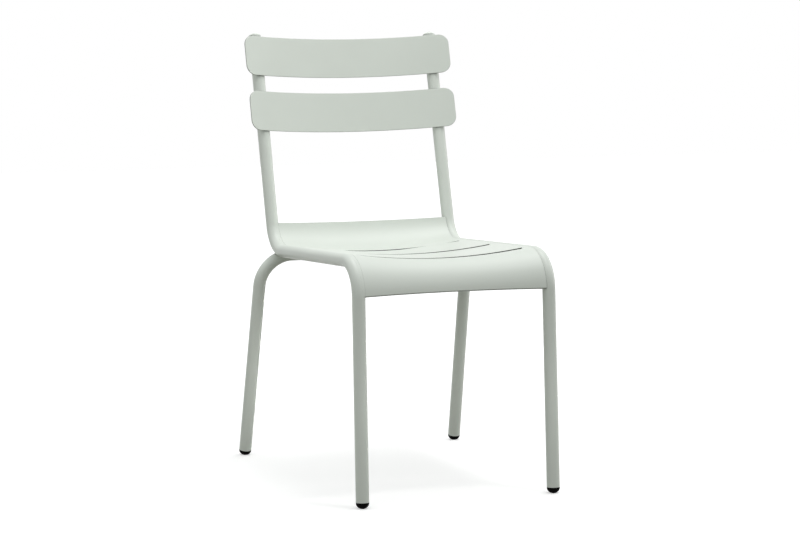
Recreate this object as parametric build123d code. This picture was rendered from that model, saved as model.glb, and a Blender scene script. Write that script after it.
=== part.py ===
from build123d import *
import math
import os

# Stacking side chair of welded round tube with a dished sheet seat and two bowed back slats.
# Millimetres and degrees. The chair faces -Y and stands on z = 0, with its middle plane at x = 0.

# Tube, one size for every leg, rail and post, bent on one die
TUBE_OD = 25.0
TUBE_WALL = 1.5
BEND_RADIUS = 65.0

# Side frame: front leg, seat rail and back post in one bent tube
FRAME_HALF_WIDTH = 191.0    # tube axis from the middle plane
FRONT_LEG_SPLAY = 2.0       # a front foot stands this far outside its rail
RAIL_HEIGHT = 452.5         # where the front leg's axis meets the rail's axis
FRONT_LEG_LEAN = 3.4
RAIL_RUN = 477.0            # level distance from the front corner to the rear corner
RAIL_FALL = 3.0
POST_LEAN = 15.8
POST_LENGTH = 441.0         # from the rear corner to the open end of the post

# Rear hoop: two legs and the bar under the seat in one bent tube
REAR_FOOT_SPREAD = 41.0     # a rear foot stands this far outside the rail above it
REAR_FOOT_SETBACK = 77.6    # a rear foot stands this far behind the rear corner
HOOP_SPLAY = 1.3            # lean of a rear leg to the side
HOOP_RAKE = 12.25           # lean of a rear leg to the rear
HOOP_FIT_STEPS = 24         # halvings of the search for the height of the bar

# Seat pan
SHEET = 2.0
PAN_RISE = 11.0             # top of the pan's side edge above the rail's axis
PAN_DISH = 14.5             # depth of the dish in the middle
PAN_LIP = 1.0               # straight run past the bends, at both ends
SLIT_WIDTH = 6.0
SLIT_END_MARGIN = 11.5      # from the end of a slit to the side edge of the pan
SLIT_PITCH = 154.0
SLIT_COUNT = 3
FIRST_SLIT = 73.0           # from the front corner of the frame, along the floor

# Back slats
SLAT_SHEET = 2.5
SLAT_RADIUS = 620.0         # hollow front face
SLAT_HALF_WIDTH = 222.2
SLAT_HEIGHT = 81.5
SLAT_GAP = 32.8
SLAT_CORNER = 20.0
SLAT_DROP = 3.5             # top edge of the upper slat below the open end of the post

# Glides and post caps, pushed into the open tube ends
PLUG_CLEARANCE = 0.15
PLUG_LENGTH = 20.0
GLIDE_COLLAR = 1.6
GLIDE_STAND = 11.0          # tube end above the floor, along the leg
GLIDE_TIP_RADIUS = 4.5
GLIDE_BULGE = 1.3
CAP_RIM = 1.5
CAP_DOME = 5.0

# Weld beads
JOINT_GAP = 0.3             # between tubes, pan and slats that are welded together
WELD_REACH = 4.0            # leg of a bead
STITCH_LENGTH = 32.0
STITCH_STATIONS = (0.12, 0.5, 0.88)   # shares of the straight rail
SLAT_WELD_MARGIN = 12.0     # a slat's bead stops this far from the slat's edges
HOOP_WELD_RADIUS = 8.5

# Worked-out places
TUBE_RADIUS = TUBE_OD / 2
BORE_RADIUS = TUBE_RADIUS - TUBE_WALL
SIDES = {"left": -1, "right": 1}


def lean_vector(degrees):
    """Unit vector that stands up and leans to the rear."""
    return Vector(0, math.sin(math.radians(degrees)), math.cos(math.radians(degrees)))


def slat_centre_distance():
    """Distance from the post axes' plane forward to the axis that the slats are bent round."""
    touching = SLAT_RADIUS + SLAT_SHEET + JOINT_GAP + TUBE_RADIUS
    return math.sqrt(touching ** 2 - FRAME_HALF_WIDTH ** 2)


ACROSS = Vector(1, 0, 0)
POST_UP = lean_vector(POST_LEAN)
LEG_UP = lean_vector(FRONT_LEG_LEAN)
LEG_RUN = RAIL_HEIGHT * math.tan(math.radians(FRONT_LEG_LEAN))
RAIL_DROP = RAIL_RUN * math.tan(math.radians(RAIL_FALL))
SLAT_TOP = POST_LENGTH - SLAT_DROP
SLAT_BELLY = SLAT_RADIUS + SLAT_SHEET - slat_centre_distance()
REARMOST = LEG_RUN + RAIL_RUN + SLAT_TOP * POST_UP.Y + SLAT_BELLY * POST_UP.Z
FOREMOST = -TUBE_RADIUS
FRONT_FOOT_Y = -(REARMOST + FOREMOST) / 2
FRONT_CORNER = Vector(0, FRONT_FOOT_Y + LEG_RUN, RAIL_HEIGHT)
REAR_CORNER = FRONT_CORNER + Vector(0, RAIL_RUN, -RAIL_DROP)
REAR_FOOT_Y = REAR_CORNER.Y + REAR_FOOT_SETBACK
REAR_FOOT_HALF_WIDTH = FRAME_HALF_WIDTH + REAR_FOOT_SPREAD
RAIL_ALONG = (REAR_CORNER - FRONT_CORNER).normalized()
POST_PLANE = Plane(origin=REAR_CORNER, x_dir=ACROSS, z_dir=POST_UP)
FRONT_TURN = 90 - FRONT_LEG_LEAN + RAIL_FALL
REAR_TURN = 90 - POST_LEAN + RAIL_FALL
FRONT_BEND_RUN = BEND_RADIUS * math.tan(math.radians(FRONT_TURN) / 2)
REAR_BEND_RUN = BEND_RADIUS * math.tan(math.radians(REAR_TURN) / 2)
RAIL_START = FRONT_CORNER + RAIL_ALONG * FRONT_BEND_RUN
RAIL_END = REAR_CORNER - RAIL_ALONG * REAR_BEND_RUN
SKIRT_END = FRONT_CORNER - LEG_UP * FRONT_BEND_RUN
UPTURN_END = REAR_CORNER + POST_UP * REAR_BEND_RUN


def rod(path, radius):
    """Round bar of one radius along a path."""
    section = Plane(origin=path @ 0, z_dir=path % 0) * Circle(radius)
    return sweep(section, path=path)


def tube(path):
    """Round tube along a path."""
    return rod(path, TUBE_RADIUS) - rod(path, BORE_RADIUS)


def front_foot(side):
    """Point where a front leg's axis meets the floor."""
    return Vector(side * (FRAME_HALF_WIDTH + FRONT_LEG_SPLAY), FRONT_FOOT_Y, 0)


def front_leg_up(side):
    """Direction up a front leg."""
    return (FRONT_CORNER + Vector(side * FRAME_HALF_WIDTH, 0, 0) - front_foot(side)).normalized()


def rear_foot(side):
    """Point where a rear leg's axis meets the floor."""
    return Vector(side * REAR_FOOT_HALF_WIDTH, REAR_FOOT_Y, 0)


def hoop_corner(side, height):
    """Point where a rear leg's axis meets the axis of the bar under the seat."""
    inward = height * math.tan(math.radians(HOOP_SPLAY))
    forward = height * math.tan(math.radians(HOOP_RAKE))
    return Vector(side * (REAR_FOOT_HALF_WIDTH - inward), REAR_FOOT_Y - forward, height)


def rear_leg_up(side):
    """Direction up a rear leg."""
    return (hoop_corner(side, RAIL_HEIGHT) - rear_foot(side)).normalized()


def side_frame_path(side):
    """Axis of a side frame, from the lower end of the front leg to the top of the post."""
    across = Vector(side * FRAME_HALF_WIDTH, 0, 0)
    lower_end = front_foot(side) + front_leg_up(side) * GLIDE_STAND
    upper_end = REAR_CORNER + across + POST_UP * POST_LENGTH
    corners = [lower_end, FRONT_CORNER + across, REAR_CORNER + across, upper_end]
    return FilletPolyline(*corners, radius=BEND_RADIUS)


def hoop_path(height):
    """Axis of the rear hoop, with its bar at a given height."""
    ends = {side: rear_foot(side) + rear_leg_up(side) * GLIDE_STAND for side in (-1, 1)}
    corners = [ends[-1], hoop_corner(-1, height), hoop_corner(1, height), ends[1]]
    return FilletPolyline(*corners, radius=BEND_RADIUS)


def seat_side(along):
    """Direction square to the frame's axis, towards the sitter, where the axis runs along a direction."""
    return Vector(0, -along.Z, along.Y)


def belly_path():
    """Lowest line of the pan's underside, in the middle plane."""
    rise = PAN_RISE - PAN_DISH - SHEET
    stations = [(SKIRT_END, LEG_UP), (RAIL_START, RAIL_ALONG), (RAIL_END, RAIL_ALONG), (UPTURN_END, POST_UP)]
    points = [point + seat_side(along) * rise for point, along in stations]
    skirt = TangentArc(points[1], points[0], tangent=-RAIL_ALONG)
    upturn = TangentArc(points[2], points[3], tangent=RAIL_ALONG)
    return Curve() + [skirt, Line(points[1], points[2]), upturn]


def hoop_height():
    """Greatest height of the bar at which the hoop stays clear of the side frame and of the pan."""
    rail = side_frame_path(1)
    belly = belly_path()
    low, high = RAIL_HEIGHT / 2, RAIL_HEIGHT
    for _ in range(HOOP_FIT_STEPS):
        middle = (low + high) / 2
        path = hoop_path(middle)
        clear_of_rail = path.distance_to(rail) > TUBE_OD + JOINT_GAP
        clear_of_pan = path.distance_to(belly) > TUBE_RADIUS + JOINT_GAP
        if clear_of_rail and clear_of_pan:
            low = middle
        else:
            high = middle
    return low


def pan_half_width():
    """Half width at which the lower corner of the pan's side edge just clears the rail."""
    beside = math.sqrt((TUBE_RADIUS + JOINT_GAP) ** 2 - (PAN_RISE - SHEET) ** 2)
    return FRAME_HALF_WIDTH - beside


def dish_arc(half_width, drop):
    """Arc across the seat, hollow side up, lowered by a distance."""
    return ThreePointArc((-half_width, -drop), (0, -PAN_DISH - drop), (half_width, -drop))


def pan_section(point, along):
    """Dished section of the pan, square to the frame's axis at a point of it."""
    half = pan_half_width()
    top = dish_arc(half, 0)
    under = dish_arc(half, SHEET)
    outline = [top, Line(top @ 1, under @ 1), under, Line(under @ 0, top @ 0)]
    origin = point + seat_side(along) * PAN_RISE
    return Plane(origin=origin, x_dir=ACROSS, z_dir=-along) * make_face(outline)


def pan_bend(start, centre_side, turn):
    """Stretch of the pan that follows a bend, from an end of the straight rail."""
    centre = start + seat_side(RAIL_ALONG) * BEND_RADIUS * centre_side
    return revolve(pan_section(start, RAIL_ALONG), Axis(centre, ACROSS), turn)


def seat_pan():
    """Dished sheet along the rails that rolls down in front, turns up at the rear and has slits across."""
    rail_length = (RAIL_END - RAIL_START).length
    sheet = extrude(pan_section(RAIL_START, RAIL_ALONG), rail_length, dir=RAIL_ALONG)
    sheet += pan_bend(RAIL_START, -1, FRONT_TURN)
    sheet += pan_bend(RAIL_END, 1, REAR_TURN)
    sheet += extrude(pan_section(SKIRT_END, LEG_UP), PAN_LIP, dir=-LEG_UP)
    sheet += extrude(pan_section(UPTURN_END, POST_UP), PAN_LIP, dir=POST_UP)
    slit = SlotOverall(2 * (pan_half_width() - SLIT_END_MARGIN), SLIT_WIDTH)
    for index in range(SLIT_COUNT):
        place = FRONT_CORNER.Y + FIRST_SLIT + index * SLIT_PITCH
        sheet -= Pos(0, place, 0) * extrude(slit, 2 * RAIL_HEIGHT)
    return sheet


def slat(top):
    """Bowed plate with round corners whose top edge lies a distance up the posts."""
    depth = slat_centre_distance()
    ring = Circle(SLAT_RADIUS + SLAT_SHEET) - Circle(SLAT_RADIUS)
    band = Pos(0, -depth, top - SLAT_HEIGHT) * extrude(ring, SLAT_HEIGHT)
    outline = RectangleRounded(2 * SLAT_HALF_WIDTH, SLAT_HEIGHT, SLAT_CORNER)
    before = Vector(0, -SLAT_RADIUS / 2, top - SLAT_HEIGHT / 2)
    face_on = Plane(origin=before, x_dir=ACROSS, z_dir=(0, 1, 0))
    window = extrude(face_on * outline, SLAT_RADIUS)
    return POST_PLANE * (band & window)


def turned(outline):
    """Solid turned about the vertical axis from corner points of its half section."""
    face = Plane.XZ * make_face(outline)
    return revolve(face, Axis.Z)


def plug():
    """Shank that fills a tube's bore, standing on z = 0."""
    radius = BORE_RADIUS - PLUG_CLEARANCE
    shank = extrude(Circle(radius), PLUG_LENGTH)
    return chamfer(shank.edges().sort_by(Axis.Z).last, TUBE_WALL)


def post_cap():
    """Domed cap with its shank below z = 0 and its rim on the tube's end at z = 0."""
    rim = Line((TUBE_RADIUS, 0), (TUBE_RADIUS, CAP_RIM))
    top = CAP_RIM + CAP_DOME
    ball = (TUBE_RADIUS ** 2 + CAP_DOME ** 2) / (2 * CAP_DOME)
    quarter = math.asin(TUBE_RADIUS / ball) / 2
    shoulder = (ball * math.sin(quarter), top - ball * (1 - math.cos(quarter)))
    dome = ThreePointArc(rim @ 1, shoulder, (0, top))
    head = turned([rim, dome, Line(dome @ 1, (0, 0)), Line((0, 0), rim @ 0)])
    return head + Rot(180, 0, 0) * plug()


def glide(foot, leg_up):
    """Foot with its shank in the leg, round at the side and cut flat on the floor."""
    low = -GLIDE_STAND - TUBE_RADIUS
    collar = Line((TUBE_RADIUS, 0), (TUBE_RADIUS, -GLIDE_COLLAR))
    tip = (GLIDE_TIP_RADIUS, -GLIDE_STAND)
    halfway = (Vector(tip) + Vector(collar @ 1)) / 2
    bulge = Vector(halfway.X + GLIDE_BULGE, halfway.Y - GLIDE_BULGE)
    flank = ThreePointArc(collar @ 1, bulge, tip)
    below = Polyline(tip, (GLIDE_TIP_RADIUS, low), (0, low), (0, 0), (TUBE_RADIUS, 0))
    body = turned([collar, flank, below]) + plug()
    seat = Plane(origin=foot + leg_up * GLIDE_STAND, z_dir=leg_up)
    under_floor = Pos(foot.X, foot.Y, 0) * extrude(Circle(TUBE_OD), low * 2)
    return seat * body - under_floor


def seat_stitches(side, rail, pan):
    """Short beads under the pan's edge, along the straight part of a rail."""
    corner = ACROSS * side * pan_half_width() + seat_side(RAIL_ALONG) * (PAN_RISE - SHEET)
    beads = []
    for share in STITCH_STATIONS:
        middle = RAIL_START + (RAIL_END - RAIL_START) * share + corner
        place = Plane(origin=middle, x_dir=ACROSS, z_dir=RAIL_ALONG)
        beads.append(place * Cylinder(WELD_REACH, STITCH_LENGTH) - rail - pan)
    return Compound(children=[lowest_solid(bead) for bead in beads])


def lowest_solid(shape):
    """The solid of a cut bead that lies under the sheet."""
    return shape.solids().sort_by(Axis.Z)[0]


def slat_weld(side, top, rail, plate):
    """Bead along the line where a slat's back meets a post."""
    length = SLAT_HEIGHT - 2 * SLAT_WELD_MARGIN
    angle = math.asin(FRAME_HALF_WIDTH / (SLAT_RADIUS + SLAT_SHEET + JOINT_GAP + TUBE_RADIUS))
    touch = Vector(math.sin(angle), -math.cos(angle)) * TUBE_RADIUS
    place = Pos(side * (FRAME_HALF_WIDTH + touch.X), touch.Y, top - SLAT_HEIGHT / 2)
    return POST_PLANE * place * Cylinder(WELD_REACH, length) - rail - plate


def hoop_weld(rail_path, hoop_line, rail, hoop):
    """Bead round the place where a side frame's rear bend meets the hoop."""
    _, on_rail, on_hoop = rail_path.distance_to_with_closest_points(hoop_line)
    middle = (on_rail + on_hoop) / 2
    return Pos(middle.X, middle.Y, middle.Z) * Sphere(HOOP_WELD_RADIUS) - rail - hoop


def all_parts():
    """Every piece of the chair by name."""
    parts = {}
    hoop_line = hoop_path(hoop_height())
    hoop_bar = rod(hoop_line, TUBE_RADIUS)
    slat_tops = {"upper": SLAT_TOP, "lower": SLAT_TOP - SLAT_HEIGHT - SLAT_GAP}
    plates = {name: slat(top) for name, top in slat_tops.items()}
    pan = seat_pan()
    parts["seat_pan"] = pan
    parts["rear_leg_hoop"] = tube(hoop_line)
    for name, plate in plates.items():
        parts[f"back_slat_{name}"] = plate
    for hand, side in SIDES.items():
        rail_path = side_frame_path(side)
        rail = rod(rail_path, TUBE_RADIUS)
        parts[f"side_frame_{hand}"] = tube(rail_path)
        parts[f"post_cap_{hand}"] = POST_PLANE * Pos(side * FRAME_HALF_WIDTH, 0, POST_LENGTH) * post_cap()
        parts[f"glide_front_{hand}"] = glide(front_foot(side), front_leg_up(side))
        parts[f"glide_rear_{hand}"] = glide(rear_foot(side), rear_leg_up(side))
        parts[f"seat_stitch_welds_{hand}"] = seat_stitches(side, rail, pan)
        parts[f"hoop_weld_{hand}"] = hoop_weld(rail_path, hoop_line, rail, hoop_bar)
        for name, top in slat_tops.items():
            parts[f"slat_weld_{name}_{hand}"] = slat_weld(side, top, rail, plates[name])
    return parts


os.makedirs("parts", exist_ok=True)
for node, shape in all_parts().items():
    export_step(shape, f"parts/{node}.step")
    print(node, len(shape.solids()), round(shape.volume))
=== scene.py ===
"""Looks of a stacking side chair: a frame of bent tube, a dished sheet seat and two bowed back slats."""
import logging
import math
from dataclasses import dataclass
from enum import Enum

import bmesh
import bpy
from bmesh.types import BMEdge, BMesh, BMVert
from mathutils import Matrix, Vector


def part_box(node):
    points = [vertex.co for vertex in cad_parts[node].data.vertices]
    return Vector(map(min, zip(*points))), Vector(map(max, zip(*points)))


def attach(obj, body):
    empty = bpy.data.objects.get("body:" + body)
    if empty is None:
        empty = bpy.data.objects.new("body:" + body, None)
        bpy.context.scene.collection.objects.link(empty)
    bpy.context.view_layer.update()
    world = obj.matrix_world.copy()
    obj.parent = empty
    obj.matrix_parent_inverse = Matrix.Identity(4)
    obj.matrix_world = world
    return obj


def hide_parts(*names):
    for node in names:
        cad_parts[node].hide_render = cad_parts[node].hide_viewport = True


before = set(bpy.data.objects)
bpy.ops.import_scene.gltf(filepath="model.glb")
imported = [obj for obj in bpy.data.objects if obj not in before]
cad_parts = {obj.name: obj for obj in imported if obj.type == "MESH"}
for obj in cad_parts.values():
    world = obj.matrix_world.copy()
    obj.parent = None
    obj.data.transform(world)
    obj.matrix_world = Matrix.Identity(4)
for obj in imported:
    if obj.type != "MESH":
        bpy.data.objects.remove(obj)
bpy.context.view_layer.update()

LOG = logging.getLogger("stacking_chair")
MM = 0.001
ACROSS = Vector((1, 0, 0))
BACK = Vector((0, 1, 0))
UP = Vector((0, 0, 1))
ORIGIN = Vector((0, 0, 0))
BODY = "root"
# Mark on faces whose colour is darkened as painted shade, as if they lay in shadow: cut edges, walls of slits
# and the hem.
PAINTED_SHADE_MARK = "painted_shade_mark"
# Distances within which points count as one: on a cut, where rounded sizes meet, and after a rounding.
SAME_POINT = 0.001 * MM
NEAR_POINT = 0.01 * MM
CLEAN_DISTANCE = 0.002 * MM


class Named(Enum):
    """Choice whose name is a word in the names of pieces."""

    @property
    def word(self) -> str:
        """Word used in the names of pieces."""
        return self.name.lower()


class Hand(Named):
    """Side of the chair as seen from its front, with the sign of x there."""

    LEFT = -1
    RIGHT = 1


class Leg(Named):
    """Pair of legs that a foot belongs to."""

    FRONT = "front"
    REAR = "rear"


class Level(Named):
    """Place of a back slat, counted in slats down from the top of the posts."""

    UPPER = 0
    LOWER = 1


class Slot(Enum):
    """Material slots of the record."""

    TUBE = "tube_coat"
    SHEET = "sheet_coat"
    WELD = "weld_coat"
    GLIDE = "glide_polymer"


def lean_vector(degrees: float) -> Vector:
    """Unit vector that stands up and leans to the rear."""
    return Vector((0, math.sin(math.radians(degrees)), math.cos(math.radians(degrees))))


def slope(degrees: float) -> float:
    """Run sideways for each unit of length at an angle."""
    return math.tan(math.radians(degrees))


def seat_side(along: Vector) -> Vector:
    """Direction square to the frame's axis, towards the sitter."""
    return Vector((0, -along.z, along.y))


def standing_on(origin: Vector, up: Vector) -> Matrix:
    """Placement whose z axis points up a tube and whose x axis runs across the chair.

    Args:
        origin: Place of the new origin.
        up: Direction of the new z axis.

    Returns:
        The placement as a 4 by 4 matrix.
    """
    z_axis = up.normalized()
    y_axis = z_axis.cross(ACROSS).normalized()
    turn = Matrix((y_axis.cross(z_axis), y_axis, z_axis)).transposed()
    return Matrix.Translation(origin) @ turn.to_4x4()


@dataclass(frozen=True)
class Layout:
    """Set-out of the frame, from which every piece takes its place. Metres and degrees."""

    tube_radius: float = 12.5 * MM
    tube_wall: float = 1.5 * MM
    bend_radius: float = 65 * MM
    half_width: float = 191 * MM
    front_splay: float = 2 * MM
    front_foot_y: float = -313.235 * MM
    rail_height: float = 452.5 * MM
    front_lean: float = 3.4
    rail_run: float = 477 * MM
    rail_fall: float = 3.0
    post_lean: float = 15.8
    post_length: float = 441 * MM
    rear_spread: float = 41 * MM
    rear_setback: float = 77.6 * MM
    hoop_splay: float = 1.3
    hoop_rake: float = 12.25
    glide_stand: float = 11 * MM
    plug_length: float = 20 * MM
    plug_clearance: float = 0.15 * MM
    joint_gap: float = 0.3 * MM

    @property
    def leg_up(self) -> Vector:
        """Direction up a front leg, seen from the side."""
        return lean_vector(self.front_lean)

    @property
    def post_up(self) -> Vector:
        """Direction up a back post."""
        return lean_vector(self.post_lean)

    @property
    def front_corner(self) -> Vector:
        """Where the axes of leg and rail meet, in the middle plane."""
        run = self.rail_height * slope(self.front_lean)
        return Vector((0, self.front_foot_y + run, self.rail_height))

    @property
    def rear_corner(self) -> Vector:
        """Where the axes of rail and post meet, in the middle plane."""
        drop = self.rail_run * slope(self.rail_fall)
        return self.front_corner + Vector((0, self.rail_run, -drop))

    @property
    def rail_along(self) -> Vector:
        """Direction along a seat rail, to the rear."""
        return (self.rear_corner - self.front_corner).normalized()

    @property
    def front_turn(self) -> float:
        """Angle of the bend between leg and rail, in radians."""
        return self.leg_up.angle(self.rail_along)

    @property
    def rear_turn(self) -> float:
        """Angle of the bend between rail and post, in radians."""
        return self.rail_along.angle(self.post_up)

    @property
    def rail_start(self) -> Vector:
        """Front end of the straight rail, in the middle plane."""
        return self.front_corner + self.rail_along * self.bend_radius * math.tan(self.front_turn / 2)

    @property
    def rail_end(self) -> Vector:
        """Rear end of the straight rail, in the middle plane."""
        return self.rear_corner - self.rail_along * self.bend_radius * math.tan(self.rear_turn / 2)

    @property
    def plug_radius(self) -> float:
        """Radius of a shank that fills a tube's bore."""
        return self.tube_radius - self.tube_wall - self.plug_clearance

    def foot(self, leg: Leg, hand: Hand) -> Vector:
        """Point where a leg's axis meets the floor.

        Args:
            leg: Front or rear.
            hand: Left or right.

        Returns:
            The point on the floor.
        """
        if leg is Leg.FRONT:
            return Vector((hand.value * (self.half_width + self.front_splay), self.front_foot_y, 0))
        rear_y = self.rear_corner.y + self.rear_setback
        return Vector((hand.value * (self.half_width + self.rear_spread), rear_y, 0))

    def side_corner(self, middle: Vector, hand: Hand) -> Vector:
        """Point of a side frame beside a point of the middle plane."""
        return middle + ACROSS * hand.value * self.half_width

    def hoop_corner(self, hand: Hand) -> Vector:
        """Point where a rear leg's axis meets the axis of the bar under the seat.

        Args:
            hand: Left or right.

        Returns:
            The corner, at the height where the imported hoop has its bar.
        """
        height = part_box("rear_leg_hoop")[1].z - self.tube_radius
        inward, forward = height * slope(self.hoop_splay), height * slope(self.hoop_rake)
        return self.foot(Leg.REAR, hand) + Vector((-hand.value * inward, -forward, height))

    def leg_direction(self, leg: Leg, hand: Hand) -> Vector:
        """Direction up a leg."""
        top = self.hoop_corner(hand) if leg is Leg.REAR else self.side_corner(self.front_corner, hand)
        return (top - self.foot(leg, hand)).normalized()

    def tube_end(self, leg: Leg, hand: Hand) -> Vector:
        """Middle of a leg's open lower end."""
        return self.foot(leg, hand) + self.leg_direction(leg, hand) * self.glide_stand

    def post_top(self, hand: Hand) -> Vector:
        """Middle of a post's open upper end."""
        return self.side_corner(self.rear_corner, hand) + self.post_up * self.post_length


@dataclass(frozen=True)
class Bend:
    """One bend of a tube's axis."""

    start: Vector
    end: Vector
    centre: Vector
    axis: Vector
    angle: float

    def point(self, share: float) -> Vector:
        """Point of the axis at a share of the bend."""
        return self.centre + Matrix.Rotation(self.angle * share, 3, self.axis) @ (self.start - self.centre)


@dataclass(frozen=True)
class BentLine:
    """Axis of a bent tube: straight runs between corners, with one radius at each inner corner."""

    corners: tuple[Vector, ...]
    radius: float

    def bends(self) -> list[Bend]:
        """Bends of the line in order.

        Returns:
            One bend for each inner corner.
        """
        found = []
        for before, corner, after in zip(self.corners, self.corners[1:], self.corners[2:]):
            along = (corner - before).normalized()
            onward = (after - corner).normalized()
            axis = along.cross(onward).normalized()
            angle = along.angle(onward)
            reach = self.radius * math.tan(angle / 2)
            start = corner - along * reach
            centre = start + axis.cross(along) * self.radius
            found.append(Bend(start, corner + onward * reach, centre, axis, angle))
        return found

    def bend_points(self, count: int) -> list[Vector]:
        """Points along every bend in order, a count on each."""
        shares = [index / (count - 1) for index in range(count)]
        return [bend.point(share) for bend in self.bends() for share in shares]


def nearest_pair(first: list[Vector], second: list[Vector]) -> tuple[Vector, Vector]:
    """Two points, one of each list, that lie nearest to each other."""
    return min(((a, b) for a in first for b in second), key=lambda pair: (pair[0] - pair[1]).length_squared)


def verts_of(geometry: list) -> list[BMVert]:
    """Vertices among mixed mesh elements."""
    return [item for item in geometry if isinstance(item, BMVert)]


def edges_of(geometry: list) -> list[BMEdge]:
    """Edges among mixed mesh elements."""
    return [item for item in geometry if isinstance(item, BMEdge)]


def smooth_step(share: float) -> float:
    """Ramp from 0 to 1 that starts and ends level."""
    held = min(max(share, 0.0), 1.0)
    return held * held * (3 - 2 * held)


def grow_straight(mesh: BMesh, edges: list[BMEdge],
                  offset: Vector) -> list[BMEdge]:
    """Grows a surface straight from some edges.

    Args:
        mesh: Mesh of the surface.
        edges: Edges to grow from.
        offset: Way to the new edges.

    Returns:
        The new edges.
    """
    grown = bmesh.ops.extrude_edge_only(mesh, edges=edges)["geom"]
    bmesh.ops.translate(mesh, verts=verts_of(grown), vec=offset)
    return edges_of(grown)


def grow_round(mesh: BMesh, start: list, centre: Vector, axis: Vector, angle: float,
               steps: int) -> list:
    """Grows a line or a surface round an axis.

    Args:
        mesh: Mesh to change.
        start: Vertices or edges to grow from.
        centre: Point on the axis.
        axis: Direction of the axis.
        angle: Angle to grow by, in radians.
        steps: Steps that the angle is taken in.

    Returns:
        The elements at the far end.
    """
    return bmesh.ops.spin(
        mesh, geom=start, cent=centre, axis=axis, angle=angle, steps=steps, use_duplicate=False,
    )["geom_last"]


def cut_across(mesh: BMesh, point: Vector, normal: Vector, near: float = SAME_POINT,
               open_below: bool = False) -> list:
    """Cuts the faces that a plane crosses.

    Args:
        mesh: Mesh to change.
        point: Point of the plane.
        normal: Direction square to the plane.
        near: Distance within which a vertex counts as on the plane.
        open_below: Whether the mesh behind the plane is removed.

    Returns:
        The vertices and edges on the cut.
    """
    return bmesh.ops.bisect_plane(
        mesh, geom=mesh.verts[:] + mesh.edges[:] + mesh.faces[:], dist=near,
        plane_co=point, plane_no=normal, clear_inner=open_below,
    )["geom_cut"]


def round_sharp_edges(mesh: BMesh, radius: float, segments: int = 3, least: float = 50) -> None:
    """Rounds every edge whose faces meet at more than an angle, and merges what the rounding left too small.

    Args:
        mesh: Mesh to change.
        radius: Width of the rounding, in metres.
        segments: Faces across the rounding.
        least: Least angle between the faces, in degrees.
    """
    limit = math.radians(least)
    sharp = [edge for edge in mesh.edges if edge.is_manifold and edge.calc_face_angle() > limit]
    bmesh.ops.bevel(
        mesh, geom=sharp, offset=radius, offset_type="OFFSET", affect="EDGES",
        segments=segments, profile=0.5, material=-1, clamp_overlap=True,
    )
    bmesh.ops.remove_doubles(mesh, verts=mesh.verts[:], dist=CLEAN_DISTANCE)
    bmesh.ops.dissolve_degenerate(mesh, edges=mesh.edges[:], dist=CLEAN_DISTANCE)


def thicken(mesh: BMesh, wall: float, facing: Vector | None = None) -> None:
    """Gives an open surface a wall on the side away from its normals.

    Args:
        mesh: Mesh to change.
        wall: Thickness of the wall.
        facing: Direction that a sheet's face looks in, or none where the surface goes round a tube.
    """
    bmesh.ops.recalc_face_normals(mesh, faces=mesh.faces[:])
    if facing is not None and sum(face.normal.dot(facing) * face.calc_area() for face in mesh.faces) < 0:
        bmesh.ops.reverse_faces(mesh, faces=mesh.faces[:])
    bmesh.ops.solidify(mesh, geom=mesh.faces[:], thickness=wall)


class TubeSweep:
    """Tube wall grown run by run from its lower end, flattened a little where it was bent."""

    SIDES = 56
    BEND_STEPS = 28
    FLATTENING = 0.012
    WIDENING = 0.01
    RAMP = 0.10
    RIM_ROUND = 0.4

    def __init__(self, line: BentLine, radius: float) -> None:
        """Starts the tube as a ring at the line's first corner and grows it to the last one.

        Args:
            line: Axis of the tube.
            radius: Outer radius.
        """
        self.mesh = bmesh.new()
        start = line.corners[0]
        place = standing_on(start, line.corners[1] - start)
        bmesh.ops.create_circle(self.mesh, segments=self.SIDES, radius=radius, matrix=place)
        self.rim = self.mesh.edges[:]
        self.point = start
        for bend in line.bends():
            self.run_to(bend.start)
            self.follow(bend)
        self.run_to(line.corners[-1])

    def run_to(self, point: Vector) -> None:
        """Grows the tube straight to a point of its axis."""
        self.rim = grow_straight(self.mesh, self.rim, point - self.point)
        self.point = point

    def follow(self, bend: Bend) -> None:
        """Grows the tube round a bend.

        Args:
            bend: Bend to follow.
        """
        before = set(self.mesh.verts)
        grown = grow_round(self.mesh, self.rim, bend.centre, bend.axis, bend.angle, self.BEND_STEPS)
        self.rim = edges_of(grown)
        self.point = bend.end
        self.flatten(bend, [vert for vert in self.mesh.verts if vert not in before])

    def flatten(self, bend: Bend, verts: list[BMVert]) -> None:
        """Narrows the tube in the plane of a bend and widens it across, between short ramps.

        Args:
            bend: Bend that the vertices follow.
            verts: Vertices of the bend.
        """
        begin = bend.start - bend.centre
        radius = begin.length
        for vert in verts:
            arm = vert.co - bend.centre
            height = arm.dot(bend.axis)
            flat = arm - bend.axis * height
            share = begin.angle(flat) / bend.angle
            amount = smooth_step(min(share, 1 - share) / self.RAMP)
            reach = radius + (flat.length - radius) * (1 - self.FLATTENING * amount)
            lifted = bend.axis * height * (1 + self.WIDENING * amount)
            vert.co = bend.centre + flat.normalized() * reach + lifted

    def finished(self, wall: float) -> BMesh:
        """Tube with its bore and rounded rims.

        Args:
            wall: Thickness of the tube's wall.

        Returns:
            The mesh of the tube.
        """
        thicken(self.mesh, wall)
        round_sharp_edges(self.mesh, wall * self.RIM_ROUND)
        return self.mesh


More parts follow.
